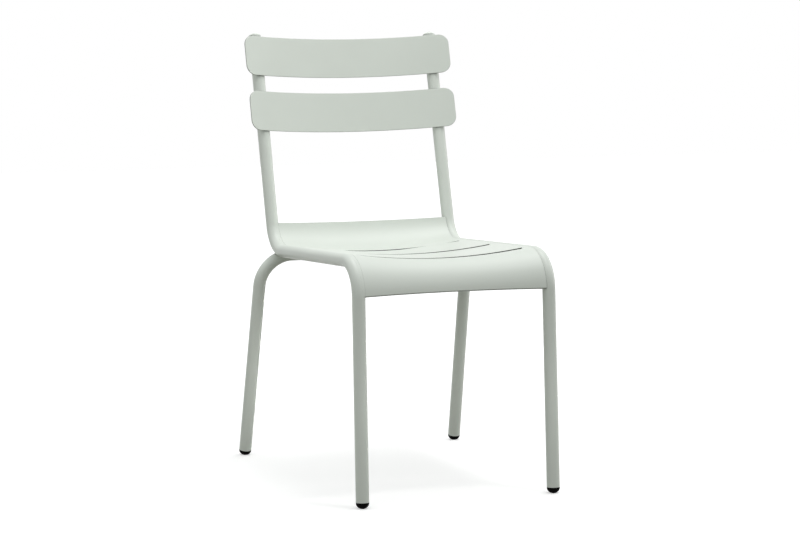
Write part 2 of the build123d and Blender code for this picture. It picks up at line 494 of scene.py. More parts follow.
class TurnedOutline:
    """Half section of a turned piece, drawn in x and z point by point and then spun round z."""

    SIDES = 48

    def __init__(self, radius: float, height: float) -> None:
        """Starts the outline at a radius and a height."""
        self.mesh = bmesh.new()
        self.last = self.mesh.verts.new((radius, 0, height))

    def line_to(self, radius: float, height: float) -> None:
        """Draws a straight line.

        Args:
            radius: Radius of the line's end.
            height: Height of the line's end.
        """
        grown = bmesh.ops.extrude_vert_indiv(self.mesh, verts=[self.last])
        self.last = grown["verts"][0]
        self.last.co = (radius, 0, height)

    def arc_to(self, through: Vector, end: Vector, steps: int) -> None:
        """Draws an arc through one point to another.

        Args:
            through: Radius and height of a point on the arc.
            end: Radius and height of the arc's end.
            steps: Straight pieces that the arc is drawn with.
        """
        begin = Vector((self.last.co.x, self.last.co.z))
        centre = circle_centre(begin, through, end)
        angle = (begin - centre).angle_signed(end - centre)
        middle = Vector((centre.x, 0, centre.y))
        self.last = verts_of(grow_round(self.mesh, [self.last], middle, BACK, angle, steps))[0]

    def turned(self, place: Matrix) -> BMesh:
        """Piece spun from the outline and set in its place.

        Args:
            place: Placement of the piece in the chair.

        Returns:
            The closed mesh.
        """
        bmesh.ops.spin(
            self.mesh, geom=self.mesh.verts[:] + self.mesh.edges[:], cent=ORIGIN, axis=UP,
            angle=math.tau, steps=self.SIDES, use_merge=True, use_duplicate=False,
        )
        bmesh.ops.remove_doubles(self.mesh, verts=self.mesh.verts[:], dist=SAME_POINT)
        bmesh.ops.recalc_face_normals(self.mesh, faces=self.mesh.faces[:])
        bmesh.ops.transform(self.mesh, matrix=place, verts=self.mesh.verts[:])
        return self.mesh


def circle_centre(a: Vector, b: Vector, c: Vector) -> Vector:
    """Centre of the circle through three points of a plane.

    Args:
        a: First point.
        b: Second point.
        c: Third point.

    Returns:
        The centre.
    """
    twice = 2 * (a.x * (b.y - c.y) + b.x * (c.y - a.y) + c.x * (a.y - b.y))
    aa, bb, cc = a.length_squared, b.length_squared, c.length_squared
    x = (aa * (b.y - c.y) + bb * (c.y - a.y) + cc * (a.y - b.y)) / twice
    y = (aa * (c.x - b.x) + bb * (a.x - c.x) + cc * (b.x - a.x)) / twice
    return Vector((x, y))


def shank_outline(plan: Layout, side: int) -> TurnedOutline:
    """Outline of a piece pushed into a tube, from the end of its shank to the tube's outer edge.

    Args:
        plan: Set-out of the frame.
        side: 1 where the shank points up its tube, and -1 where it points down.

    Returns:
        The outline, still open beyond the edge.
    """
    outline = TurnedOutline(0, side * plan.plug_length)
    outline.line_to(plan.plug_radius - plan.tube_wall, side * plan.plug_length)
    outline.line_to(plan.plug_radius, side * (plan.plug_length - plan.tube_wall))
    outline.line_to(plan.plug_radius, 0)
    outline.line_to(plan.tube_radius, 0)
    return outline


class WeldBead:
    """Round bead laid in overlapping drops, grown ring by ring."""

    SIDES = 12
    RIPPLE = 0.10
    TIP = 0.3

    def __init__(self, radius: float) -> None:
        """Starts an empty mesh for beads of one radius."""
        self.mesh = bmesh.new()
        self.radius = radius

    def ripples(self, count: int) -> list[float]:
        """Sizes of rings that swell at every other drop."""
        return [1 + self.RIPPLE * (index % 2) for index in range(count)]

    def lay(self, stations: list[Matrix], sizes: list[float], closed: bool) -> None:
        """Lays one bead.

        Args:
            stations: Placement of each ring, with its z axis along the bead.
            sizes: Size of each ring as a share of the bead's radius.
            closed: Whether the last ring joins the first one.
        """
        before = set(self.mesh.verts)
        rings = []
        for place, size in zip(stations, sizes):
            ring = bmesh.ops.create_circle(
                self.mesh, segments=self.SIDES, radius=self.radius * size, matrix=place
            )["verts"]
            rings.append({edge for vert in ring for edge in vert.link_edges})
        pairs = list(zip(rings, rings[1:]))
        if closed:
            pairs.append((rings[-1], rings[0]))
        for first, second in pairs:
            bmesh.ops.bridge_loops(self.mesh, edges=list(first | second))
        if not closed:
            for ring in (rings[0], rings[-1]):
                bmesh.ops.edgeloop_fill(self.mesh, edges=list(ring))
        faces = {face for vert in self.mesh.verts if vert not in before for face in vert.link_faces}
        bmesh.ops.recalc_face_normals(self.mesh, faces=list(faces))

    def straight(self, start: Vector, end: Vector) -> None:
        """Lays a bead along a line, with tapered ends.

        Args:
            start: Middle of the first drop.
            end: Middle of the last drop.
        """
        along = end - start
        count = 2 * round(along.length / self.radius) + 1
        shares = [index / (count - 1) for index in range(count)]
        stations = [standing_on(start + along * share, along) for share in shares]
        drops = along.length / (2 * self.radius)
        tapers = [smooth_step(min(share, 1 - share) * drops + self.TIP) for share in shares]
        sizes = [ripple * taper for ripple, taper in zip(self.ripples(count), tapers)]
        self.lay(stations, sizes, closed=False)

    def ring(self, middle: Vector, axis: Vector, reach: float) -> None:
        """Lays a bead in a ring.

        Args:
            middle: Centre of the ring.
            axis: Direction square to the ring.
            reach: Radius of the ring.
        """
        count = 2 * round(math.tau * reach / self.radius / 2)
        arm = axis.orthogonal().normalized() * reach
        stations = []
        for index in range(count):
            spoke = Matrix.Rotation(math.tau * index / count, 3, axis) @ arm
            turn = axis.cross(spoke).to_track_quat("Z", "Y").to_matrix().to_4x4()
            stations.append(Matrix.Translation(middle + spoke) @ turn)
        self.lay(stations, self.ripples(count), closed=True)


def linear_colour(code: str) -> tuple[float, float, float, float]:
    """Linear colour of an sRGB hex value.

    Args:
        code: Colour as a hash sign and six hex digits.

    Returns:
        Red, green, blue and an alpha of 1.
    """
    shares = [int(code[place:place + 2], 16) / 255 for place in (1, 3, 5)]
    red, green, blue = (s / 12.92 if s <= 0.04045 else ((s + 0.055) / 1.055) ** 2.4 for s in shares)
    return red, green, blue, 1.0


def add_node(tree: bpy.types.NodeTree, kind: str, inputs: dict, **settings: str | int) -> bpy.types.Node:
    """Adds one node with its settings and links.

    Args:
        tree: Node tree to add to.
        kind: Blender's name of the node type, after the words that all of them start with.
        inputs: Value or output socket for each input, by name or number.
        settings: Properties of the node.

    Returns:
        The new node.
    """
    node = tree.nodes.new(f"ShaderNode{kind}")
    for name, value in settings.items():
        setattr(node, name, value)
    for key, value in inputs.items():
        if isinstance(value, bpy.types.NodeSocket):
            tree.links.new(value, node.inputs[key])
        else:
            node.inputs[key].default_value = value
    return node


def cells_per_metre(size_mm: float) -> float:
    """Scale of a pattern on Object coordinates from the real size of one cell in millimetres."""
    return 1 / (size_mm * MM)


def empty_tree(name: str) -> tuple[bpy.types.Material, bpy.types.NodeTree]:
    """New material with an empty node tree.

    Args:
        name: Name of the material.

    Returns:
        The material and its tree.
    """
    material = bpy.data.materials.new(name)
    material.use_nodes = True
    material.node_tree.nodes.clear()
    return material, material.node_tree


@dataclass(frozen=True)
class SatinFinish:
    """Even opaque surface with a fine relief, faint clouds of tone and a slightly uneven gloss.

    The colour carries painted shade: it is darkened in crevices, found by ambient occlusion, and on faces
    that carry the painted-shade mark. A noise is given by its detail and its roughness.
    """

    name: str
    colour: str
    cloud_colour: str
    roughness: float
    roughness_spread: float
    relief_mm: float
    relief_depth_mm: float
    cloud_mm: float
    relief_noise: tuple[float, float] = (2.0, 0.45)
    cloud_noise: tuple[float, float] = (3.0, 0.5)
    # Painted shade: how far occlusion looks, how dark crevices get, the occlusion range that is darkened, its
    # samples, and how dark marked faces get.
    crevice_shade_mm: float = 7
    crevice_shade_tone: float = 0.3
    crevice_shade_from: float = 0.35
    crevice_shade_to: float = 0.80
    crevice_shade_samples: int = 6
    cut_shade_tone: float = 0.15
    ior: float = 1.5

    def material(self) -> bpy.types.Material:
        """Material with its relief, tone and gloss on Object coordinates.

        Returns:
            The new material.
        """
        material, tree = empty_tree(self.name)
        place = add_node(tree, "TexCoord", {}).outputs["Object"]
        relief, cloud = [
            add_node(tree, "TexNoise", {
                "Vector": place, "Scale": cells_per_metre(size), "Detail": detail, "Roughness": mix,
            }).outputs["Fac"]
            for size, (detail, mix) in (
                (self.relief_mm, self.relief_noise), (self.cloud_mm, self.cloud_noise))]
        # Inputs 6 and 7 of a mix of colours are the two colours, and output 2 is the mixed one.
        colours = {6: linear_colour(self.colour), 7: linear_colour(self.cloud_colour)}
        tone = add_node(tree, "Mix", {"Factor": cloud, **colours}, data_type="RGBA").outputs[2]
        # Painted shade: ambient occlusion darkens the colour in crevices and joints, where shade falls.
        depth = add_node(
            tree, "AmbientOcclusion", {"Distance": self.crevice_shade_mm * MM}, samples=self.crevice_shade_samples)
        painted_shade = add_node(tree, "MapRange", {
            "Value": depth.outputs["AO"], "From Min": self.crevice_shade_from, "From Max": self.crevice_shade_to,
            "To Min": self.crevice_shade_tone, "To Max": 1.0})
        # Painted shade on faces that carry the mark: slat edges, slit walls and the hem are darkened to a set
        # tone.
        shade_mark = add_node(tree, "Attribute", {}, attribute_name=PAINTED_SHADE_MARK).outputs["Fac"]
        cut = add_node(tree, "MapRange", {"Value": shade_mark, "To Min": 1.0, "To Max": self.cut_shade_tone})
        # Both painted shades together scale the colour.
        shade_factors = {0: painted_shade.outputs["Result"], 1: cut.outputs["Result"]}
        shade_factor = add_node(tree, "Math", shade_factors, operation="MULTIPLY").outputs[0]
        shown = add_node(tree, "VectorMath", {0: tone, "Scale": shade_factor}, operation="SCALE")
        low, high = self.roughness - self.roughness_spread, self.roughness + self.roughness_spread
        gloss = add_node(tree, "MapRange", {"Value": cloud, "To Min": low, "To Max": high})
        bump = add_node(tree, "Bump", {
            "Height": relief, "Strength": 1.0, "Distance": self.relief_depth_mm * MM})
        shader = add_node(tree, "BsdfPrincipled", {
            "Base Color": shown.outputs["Vector"], "Roughness": gloss.outputs["Result"],
            "Normal": bump.outputs["Normal"], "IOR": self.ior})
        add_node(tree, "OutputMaterial", {"Surface": shader.outputs["BSDF"]})
        return material


# Polyester powder coat, sprayed dry and baked on steel: an even satin film in a pale grey-green, with a
# shallow orange peel. Real peel is 1 to 2 mm across, too fine to show from here, so it is drawn at 4 mm.
TUBE_COAT = SatinFinish(
    "powder_coat_on_steel_tube", "#D5DBD2", "#DCE2D9", 0.40, 0.05,
    relief_mm=4, relief_depth_mm=0.012, cloud_mm=70)
SHEET_COAT = SatinFinish(
    "powder_coat_on_pressed_steel_sheet", "#D6DCD3", "#DCE2D9", 0.42, 0.05,
    relief_mm=4, relief_depth_mm=0.010, cloud_mm=110)
# The same coat over the drops of an arc weld, a little thicker and duller in the hollows.
WELD_COAT = SatinFinish(
    "powder_coat_on_arc_weld", "#CDD3CA", "#D8DED5", 0.48, 0.06,
    relief_mm=2, relief_depth_mm=0.03, cloud_mm=8)
# Polyamide moulded in an eroded tool: near black, with a dull, finely grained skin. The grain breaks up
# the sheen of a smooth moulding, so its index is set low. Real grain is finer, and is drawn at 1.2 mm.
GLIDE_POLYMER = SatinFinish(
    "moulded_black_polyamide", "#050505", "#0A0A0A", 0.58, 0.06,
    relief_mm=1.2, relief_depth_mm=0.04, cloud_mm=9, ior=1.1)

FINISHES = {Slot.TUBE: TUBE_COAT, Slot.SHEET: SHEET_COAT, Slot.WELD: WELD_COAT, Slot.GLIDE: GLIDE_POLYMER}


def mesh_data(name: str, mesh: BMesh) -> bpy.types.Mesh:
    """Mesh data from a finished mesh.

    Args:
        name: Name of the data.
        mesh: Finished mesh, which is used up.

    Returns:
        The new data.
    """
    data = bpy.data.meshes.new(name)
    mesh.to_mesh(data)
    mesh.free()
    return data


def add_object(data: bpy.types.ID) -> bpy.types.Object:
    """Adds an object that shows some data to the scene, under the data's name.

    Args:
        data: Mesh, light or camera.

    Returns:
        The new object.
    """
    made = bpy.data.objects.new(data.name, data)
    bpy.context.scene.collection.objects.link(made)
    return made


class Workshop:
    """Turns finished meshes into pieces of the chair, dressed and riding on its frame."""

    SMOOTH_LIMIT = math.radians(38)

    def __init__(self) -> None:
        """Makes each finish once."""
        self.materials = {slot: finish.material() for slot, finish in FINISHES.items()}

    def piece(self, name: str, mesh: BMesh, slot: Slot, node: str) -> None:
        """Makes one piece, in place of a node of the frame.

        Args:
            name: Name of the piece.
            mesh: Finished mesh, which is used up.
            slot: Material slot that dresses the piece.
            node: Node that the piece stands for.
        """
        data = mesh_data(name, mesh)
        data.shade_smooth()
        data.set_sharp_from_angle(angle=self.SMOOTH_LIMIT)
        data.materials.append(self.materials[slot])
        made = add_object(data)
        made.modifiers.new("even_normals", "WEIGHTED_NORMAL").keep_sharp = True
        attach(made, BODY)
        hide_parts(node)
        LOG.info("%s: %d faces, stands for %s", name, len(data.polygons), node)


@dataclass
class SideFrame:
    """Front leg, seat rail and back post in one bent tube, with the cap in its upper end."""

    layout: Layout
    hand: Hand
    cap_rim: float = 1.5 * MM
    cap_dome: float = 5 * MM
    cap_round: float = 0.64 * MM
    cap_sharp: float = 40
    dome_steps: int = 10

    def line(self) -> BentLine:
        """Axis of the tube.

        Returns:
            The line from the foot to the top of the post.
        """
        plan = self.layout
        corners = (
            plan.tube_end(Leg.FRONT, self.hand),
            plan.side_corner(plan.front_corner, self.hand),
            plan.side_corner(plan.rear_corner, self.hand),
            plan.post_top(self.hand),
        )
        return BentLine(corners, plan.bend_radius)

    def tube_mesh(self) -> BMesh:
        """Mesh of the bent tube."""
        return TubeSweep(self.line(), self.layout.tube_radius).finished(self.layout.tube_wall)

    def cap_mesh(self) -> BMesh:
        """Domed cap with its shank in the post.

        Returns:
            The mesh of the cap.
        """
        plan = self.layout
        top = self.cap_rim + self.cap_dome
        ball = (plan.tube_radius ** 2 + self.cap_dome ** 2) / (2 * self.cap_dome)
        half_angle = math.asin(plan.tube_radius / ball) / 2
        shoulder = Vector((ball * math.sin(half_angle), top - ball * (1 - math.cos(half_angle))))
        outline = shank_outline(plan, -1)
        outline.line_to(plan.tube_radius, self.cap_rim)
        outline.arc_to(shoulder, Vector((0, top)), self.dome_steps)
        mesh = outline.turned(standing_on(plan.post_top(self.hand), plan.post_up))
        round_sharp_edges(mesh, self.cap_round, least=self.cap_sharp)
        return mesh

    def build(self, shop: Workshop) -> None:
        """Builds and dresses the tube and its cap.

        Args:
            shop: Workshop that makes the pieces.
        """
        word = self.hand.word
        shop.piece(f"bent_tube_{word}", self.tube_mesh(), Slot.TUBE, f"side_frame_{word}")
        shop.piece(f"domed_cap_{word}", self.cap_mesh(), Slot.TUBE, f"post_cap_{word}")


@dataclass
class RearHoop:
    """Both rear legs and the bar under the seat in one bent tube, and its joints to the side frames."""

    layout: Layout
    weld_radius: float = 1.7 * MM
    weld_reach: float = 4.8 * MM
    contact_samples: int = 240

    def line(self) -> BentLine:
        """Axis of the tube.

        Returns:
            The line from one rear foot to the other.
        """
        plan = self.layout
        corners = (
            plan.tube_end(Leg.REAR, Hand.LEFT),
            plan.hoop_corner(Hand.LEFT),
            plan.hoop_corner(Hand.RIGHT),
            plan.tube_end(Leg.REAR, Hand.RIGHT),
        )
        return BentLine(corners, plan.bend_radius)

    def weld_mesh(self, hand: Hand) -> BMesh:
        """Bead round the place where a side frame's rear bend sits on the hoop.

        Args:
            hand: Left or right.

        Returns:
            The mesh of the bead.
        """
        rail = SideFrame(self.layout, hand).line()
        on_rail, on_hoop = nearest_pair(
            rail.bend_points(self.contact_samples), self.line().bend_points(self.contact_samples))
        bead = WeldBead(self.weld_radius)
        bead.ring((on_rail + on_hoop) / 2, (on_rail - on_hoop).normalized(), self.weld_reach)
        return bead.mesh

    def build(self, shop: Workshop) -> None:
        """Builds and dresses the hoop and its two beads.

        Args:
            shop: Workshop that makes the pieces.
        """
        tube = TubeSweep(self.line(), self.layout.tube_radius).finished(self.layout.tube_wall)
        shop.piece("bent_tube_rear", tube, Slot.TUBE, "rear_leg_hoop")
        for hand in Hand:
            shop.piece(f"hoop_bead_{hand.word}", self.weld_mesh(hand), Slot.WELD, f"hoop_weld_{hand.word}")


@dataclass(frozen=True)
class Slit:
    """Front lip of one slit, which sagged in pressing by amounts that are given evenly from left to right."""

    sags_mm: tuple[float, ...]
    reach: float = 14 * MM

    def sag(self, share: float) -> float:
        """Sag at a place along the slit.

        Args:
            share: Share of the slit's half length, from -1 on the left to 1 on the right.

        Returns:
            The sag, in metres.
        """
        place = (min(max(share, -1), 1) + 1) / 2 * (len(self.sags_mm) - 1)
        index = min(int(place), len(self.sags_mm) - 2)
        low, high = self.sags_mm[index:index + 2]
        return (low + (high - low) * (place - index)) * MM


@dataclass
class SeatPan:
    """Dished sheet with a rolled front, an upturned rear edge and slits across, stitched to the rails."""

    layout: Layout
    sheet: float = 2 * MM
    rise: float = 11 * MM
    dish: float = 14.5 * MM
    lip: float = 1 * MM
    skirt_trim: float = 1.4 * MM
    hem: float = 3.4 * MM
    hem_turn: float = 45
    # Strength of the painted shade on the hem's faces, which turn down from the light.
    hem_shade: float = 0.58
    slit_width: float = 6 * MM
    slit_margin: float = 11.5 * MM
    slit_pitch: float = 154 * MM
    first_slit: float = 73 * MM
    slits: tuple[Slit, ...] = (
        Slit((0.3, 1.6, 1.6, 1.1, 1.5, 1.9, 2.1, 2.6, 2.8)),
        Slit((-0.5, -0.3, 0.0, 0.22, 0.8, 1.05, 1.35, 1.35, 1.6)),
        Slit((0.0, -0.3, -0.3, 1.5, 1.45, 1.2, -0.2, -1.0, 0.2), reach=28 * MM),
    )
    lip_rows: int = 4
    lip_fade: float = 5 * MM
    skirt_arch: float = 2 * MM
    arch_height: float = 32 * MM
    edge_round: float = 0.2 * MM
    cut_turn: float = 0.6
    columns: int = 60
    edge_columns: int = 2
    bend_steps: int = 28
    slit_end_cuts: int = 7
    seam_angle: float = 16
    seam_step_left: float = 0.3 * MM
    seam_step_right: float = 1.7 * MM
    seam_wall: float = 0.6 * MM
    seam_sunk: float = 0.1 * MM
    stitch_length: float = 32 * MM
    stitch_stations: tuple[float, ...] = (0.12, 0.5, 0.88)
    stitch_radius: float = 2.2 * MM
    stitch_inset: float = 2.1 * MM
    stitch_drop: float = 1.5 * MM

    @property
    def above(self) -> Vector:
        """Direction square to the seat, towards the sitter."""
        return seat_side(self.layout.rail_along)

    @property
    def half(self) -> float:
        """Half width of the pan, whose lower corners just clear the rails."""
        reach = self.layout.tube_radius + self.layout.joint_gap
        return self.layout.half_width - math.sqrt(reach ** 2 - (self.rise - self.sheet) ** 2)

    @property
    def dish_radius(self) -> float:
        """Radius of the dish across the seat."""
        return (self.half ** 2 + self.dish ** 2) / (2 * self.dish)

    @property
    def slit_centre(self) -> float:
        """Distance from the middle plane to the centre of a slit's round end."""
        return self.half - self.slit_margin - self.slit_width / 2

    def depth_at(self, x: float) -> float:
        """Depth of the dish below the pan's side edges."""
        radius = self.dish_radius
        return math.sqrt(radius ** 2 - x ** 2) - (radius - self.dish)

    def slit_places(self) -> list[tuple[Slit, float]]:
        """Each slit with the y of its middle line."""
        start = self.layout.front_corner.y + self.first_slit
        return [(slit, start + index * self.slit_pitch) for index, slit in enumerate(self.slits)]

    def section(self, mesh: BMesh) -> list[BMEdge]:
        """Draws the dished section at the front end of the straight rails, with points where slits end.

        Args:
            mesh: Mesh to draw in.

        Returns:
            The edges of the section.
        """
        plan = self.layout
        vert = mesh.verts.new(plan.rail_start + self.above * self.rise - ACROSS * self.half)
        centre = plan.rail_start + self.above * (self.rise + self.dish_radius - self.dish)
        stops = (-self.half, -self.slit_centre, self.slit_centre, self.half)
        counts = (self.edge_columns, self.columns, self.edge_columns)
        for begin, end, count in zip(stops, stops[1:], counts):
            angle = math.asin(end / self.dish_radius) - math.asin(begin / self.dish_radius)
            vert = verts_of(grow_round(mesh, [vert], centre, -plan.rail_along, angle, count))[0]
        return mesh.edges[:]

    def cut_slits(self, mesh: BMesh) -> None:
        """Opens the slits, with round ends and sagging front lips.

        Args:
            mesh: Mesh of the sheet.
        """
        for slit, place in self.slit_places():
            front, rear = place - self.slit_width / 2, place + self.slit_width / 2
            lip = [front - slit.reach * row / self.lip_rows for row in range(self.lip_rows + 1)]
            for cut_y in (rear, *lip):
                cut_across(mesh, BACK * cut_y, BACK)
            self.open_slit(mesh, place)
            self.bend_lip(mesh, slit, front)

    def open_slit(self, mesh: BMesh, place: float) -> None:
        """Removes the sheet inside one slit and rounds the slit's ends.

        Args:
            mesh: Mesh of the sheet, already cut along the slit's edges.
            place: Y of the slit's middle line.
        """
        radius = self.slit_width / 2
        inside = [
            face for face in mesh.faces
            if abs(face.calc_center_median().y - place) < radius
            and abs(face.calc_center_median().x) < self.slit_centre
        ]
        bmesh.ops.delete(mesh, geom=inside, context="FACES")
        ends = [
            edge for edge in mesh.edges
            if edge.is_boundary
            and all(abs(abs(vert.co.x) - self.slit_centre) < NEAR_POINT for vert in edge.verts)
            and abs((edge.verts[0].co.y + edge.verts[1].co.y) / 2 - place) < radius
        ]
        cut = bmesh.ops.subdivide_edges(mesh, edges=ends, cuts=self.slit_end_cuts)["geom_inner"]
        for vert in verts_of(cut):
            beyond = math.sqrt(max(radius ** 2 - (vert.co.y - place) ** 2, 0))
            before = self.depth_at(vert.co.x)
            vert.co.x += math.copysign(beyond, vert.co.x)
            vert.co += self.above * (before - self.depth_at(vert.co.x))

    def bend_lip(self, mesh: BMesh, slit: Slit, front: float) -> None:
        """Lowers the lip in front of one slit, and takes the fall round the slit's ends.

        Args:
            mesh: Mesh of the sheet.
            slit: Slit whose lip is lowered.
            front: Y of the slit's front edge.
        """
        above = self.above
        end = self.slit_centre + self.slit_width / 2
        for vert in mesh.verts:
            away = front - vert.co.y
            share = 1 - (away / slit.reach if away > 0 else -away / self.slit_width)
            if share > 0:
                held = smooth_step((end - abs(vert.co.x)) / self.lip_fade)
                vert.co -= above * slit.sag(vert.co.x / self.slit_centre) * held * share ** 2

    def shade_slit_walls(self, mesh: BMesh) -> None:
        """Marks the walls of the slits for painted shade, which darkens them as if they lay in the slits'
        shadow.

        Args:
            mesh: Mesh of the sheet.
        """
        painted_shade = mesh.faces.layers.float[PAINTED_SHADE_MARK]
        above = self.above
        places = [place for _, place in self.slit_places()]
        for face in mesh.faces:
            middle = face.calc_center_median()
            beyond = max(abs(middle.x) - self.slit_centre, 0)
            away = min(math.hypot(beyond, middle.y - place) for place in places)
            if away < self.slit_width / 2 + self.edge_round and abs(face.normal.dot(above)) < self.cut_turn:
                face[painted_shade] = 1.0

    def arch_skirt(self, mesh: BMesh) -> None:
        """Lifts the middle of the skirt's lower edge.

        Args:
            mesh: Mesh of the sheet.
        """
        plan = self.layout
        low = min(vert.co.z for vert in mesh.verts)
        for vert in mesh.verts:
            if vert.co.y < plan.rail_start.y:
                share = smooth_step(1 - (vert.co.z - low) / self.arch_height)
                crown = 1 - (vert.co.x / self.half) ** 2
                vert.co += plan.leg_up * self.skirt_arch * share * crown

    def sweep(self, mesh: BMesh, start: list[BMEdge]) -> list[BMEdge]:
        """Grows a section along the rails, round both bends and into the turned hem of the skirt.

        Args:
            mesh: Mesh that holds the section.
            start: Edges of the section, at the front end of the straight rails.

        Returns:
            The lower edges of the hem.
        """
        plan = self.layout
        arm = self.above * plan.bend_radius
        skirt_turn = plan.front_turn - self.skirt_trim / plan.bend_radius
        skirt = grow_round(mesh, start, plan.rail_start - arm, ACROSS, skirt_turn, self.bend_steps)
        turn = math.radians(self.hem_turn)
        hem = plan.leg_up * math.cos(turn) + seat_side(plan.leg_up) * math.sin(turn)
        low = grow_straight(mesh, edges_of(skirt), -hem * self.hem)
        rear = grow_straight(mesh, start, plan.rail_end - plan.rail_start)
        upturn = grow_round(mesh, rear, plan.rail_end + arm, ACROSS, plan.rear_turn, self.bend_steps)
        grow_straight(mesh, edges_of(upturn), plan.post_up * self.lip)
        return low

    def seam_mesh(self, hand: Hand) -> BMesh:
        """Filler ground smooth between the pan's edge and one side frame.

        Args:
            hand: Left or right.

        Returns:
            The mesh of the filler, with its outer edge sunk a little in the tube.
        """
        plan = self.layout
        outward = ACROSS * hand.value
        lean = math.radians(self.seam_angle)
        step = self.seam_step_left if hand is Hand.LEFT else self.seam_step_right
        reach = plan.tube_radius - self.seam_sunk
        inner = outward * self.half + self.above * (self.rise - step)
        outer = outward * (plan.half_width - reach * math.sin(lean)) + self.above * reach * math.cos(lean)
        mesh = bmesh.new()
        ends = [mesh.verts.new(plan.rail_start + offset) for offset in (inner, outer)]
        self.sweep(mesh, [mesh.edges.new(ends)])
        thicken(mesh, self.seam_wall, UP)
        return mesh

    def pan_mesh(self) -> BMesh:
        """Mesh of the pressed sheet.

        Returns:
            The closed mesh with rounded edges.
        """
        mesh = bmesh.new()
        painted_shade = mesh.faces.layers.float.new(PAINTED_SHADE_MARK)
        # Painted shade on the hem's faces, which turn down from the light.
        for edge in self.sweep(mesh, self.section(mesh)):
            for face in edge.link_faces:
                face[painted_shade] = self.hem_shade
        self.cut_slits(mesh)
        self.arch_skirt(mesh)
        thicken(mesh, self.sheet, UP)
        round_sharp_edges(mesh, self.edge_round)
        self.shade_slit_walls(mesh)
        return mesh

    def stitch_mesh(self, hand: Hand) -> BMesh:
        """Short beads under the pan's edge along one rail.

        Args:
            hand: Left or right.

        Returns:
            The mesh of the beads.
        """
        plan = self.layout
        aside = ACROSS * hand.value * (self.half - self.stitch_inset)
        below = self.above * (self.rise - self.sheet - self.stitch_drop)
        reach = plan.rail_along * self.stitch_length / 2
        bead = WeldBead(self.stitch_radius)
        for share in self.stitch_stations:
            middle = plan.rail_start.lerp(plan.rail_end, share) + aside + below
            bead.straight(middle - reach, middle + reach)
        return bead.mesh

    def build(self, shop: Workshop) -> None:
        """Builds and dresses the pan and its stitches.

        Args:
            shop: Workshop that makes the pieces.
        """
        shop.piece("pressed_seat", self.pan_mesh(), Slot.SHEET, "seat_pan")
        for hand in Hand:
            shop.piece(f"ground_seam_{hand.word}", self.seam_mesh(hand), Slot.SHEET, "seat_pan")
            node = f"seat_stitch_welds_{hand.word}"
            shop.piece(f"seat_beads_{hand.word}", self.stitch_mesh(hand), Slot.WELD, node)


